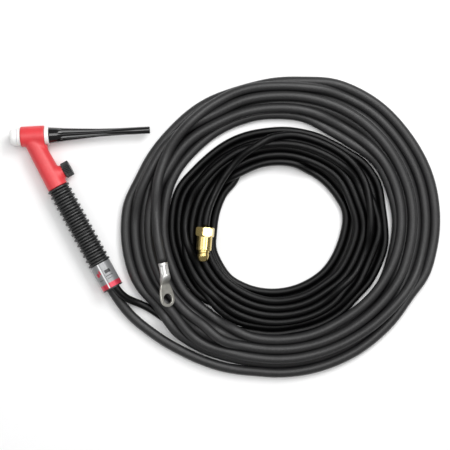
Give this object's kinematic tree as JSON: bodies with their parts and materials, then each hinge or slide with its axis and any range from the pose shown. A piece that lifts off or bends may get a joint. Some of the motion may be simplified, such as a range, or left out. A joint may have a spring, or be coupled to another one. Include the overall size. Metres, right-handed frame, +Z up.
{
  "type": "tig torch",
  "caption": "Air-cooled TIG welding torch with a gas valve in its neck, a long back cap and a two-piece lead: power cable with ring lug, gas hose with brass union, both coiled.",
  "frame": {"origin": "on the floor under the middle of the torch (handle, head and back cap), which the lead is not counted in", "axes": "+Y along the handle from the lead end to the head, +X to the side of the valve knob and back cap, +Z up from the floor that the torch lies on"},
  "size_m": [0.4455, 0.4608, 0.0445],
  "materials": {
    "red_cover": "satin moulded silicone rubber",
    "grip_black": "satin ribbed moulding",
    "knob_black": "satin knurled moulding",
    "phenolic_black": "polished phenolic",
    "ceramic_white": "smooth white ceramic",
    "ptfe_white": "satin white",
    "label_foil": "satin printed foil",
    "brass": "polished",
    "copper": "bright copper",
    "tinned_copper": "satin tinned",
    "steel": "bright",
    "tungsten": "ground grey",
    "seal_rubber": "matt",
    "cable_rubber": "satin",
    "hose_rubber": "satin, faint braid"
  },
  "bodies": {
    "torch": {"torch_body_shell": "red_cover", "head_core": "brass", "neck_tube": "brass", "front_gasket": "ptfe_white", "collet_body": "copper", "collet": "copper", "rear_insulator": "ptfe_white", "valve_housing": "brass", "handle_grip": "grip_black", "label_sleeve": "label_foil", "power_stud": "brass", "cable_ferrule": "copper", "power_conductor": "copper", "gas_barb": "brass", "power_cable_lead": "cable_rubber", "power_cable_coil": "cable_rubber", "power_cable_tail": "cable_rubber", "gas_hose_lead": "hose_rubber", "gas_hose_coil": "hose_rubber", "gas_hose_tail": "hose_rubber", "cable_lug": "tinned_copper", "lug_conductor": "copper", "gas_nipple": "brass"},
    "valve_travel": {"valve_o_ring": "seal_rubber"},
    "valve": {"valve_stem": "steel", "valve_knob": "knob_black", "knob_screw": "steel"},
    "cap_travel": {"back_cap_o_ring": "seal_rubber"},
    "cap": {"back_cap": "phenolic_black", "back_cap_insert": "brass"},
    "nozzle": {"gas_nozzle": "ceramic_white"},
    "electrode": {"tungsten_electrode": "tungsten"},
    "union_nut": {"gas_nut": "brass"}
  },
  "joints": [
    {"name": "valve_lift", "type": "slide", "parent": "torch", "child": "valve_travel", "axis": [1, 0, 0], "range_m": [0, 0.0015]},
    {"name": "valve_turn", "type": "hinge", "parent": "valve_travel", "child": "valve", "pos_m": [-0.05643, 0.0413, 0.01475], "axis": [1, 0, 0], "range_deg": [0, 540]},
    {"name": "cap_lift", "type": "slide", "parent": "torch", "child": "cap_travel", "axis": [0.9018, -0.4321, 0], "range_m": [0, 0.005]},
    {"name": "cap_turn", "type": "hinge", "parent": "cap_travel", "child": "cap", "pos_m": [-0.05643, 0.1003, 0.01475], "axis": [0.9018, -0.4321, 0], "range_deg": [0, 1800]},
    {"name": "nozzle_turn", "type": "hinge", "parent": "torch", "child": "nozzle", "pos_m": [-0.05643, 0.1003, 0.01475], "axis": [-0.9018, 0.4321, 0], "range_deg": [0, 720]},
    {"name": "electrode_slide", "type": "slide", "parent": "torch", "child": "electrode", "axis": [-0.9018, 0.4321, 0], "range_m": [-0.01, 0.02]},
    {"name": "nut_spin", "type": "hinge", "parent": "torch", "child": "union_nut", "pos_m": [0.08377, -0.1076, 0.0326], "axis": [-0.5501, -0.8351, 0], "continuous": true}
  ],
  "couplings": [
    {"joint": "valve_turn", "follows": "valve_lift", "rad_per_m": 6283.2},
    {"joint": "cap_turn", "follows": "cap_lift", "rad_per_m": 6283.2}
  ]
}
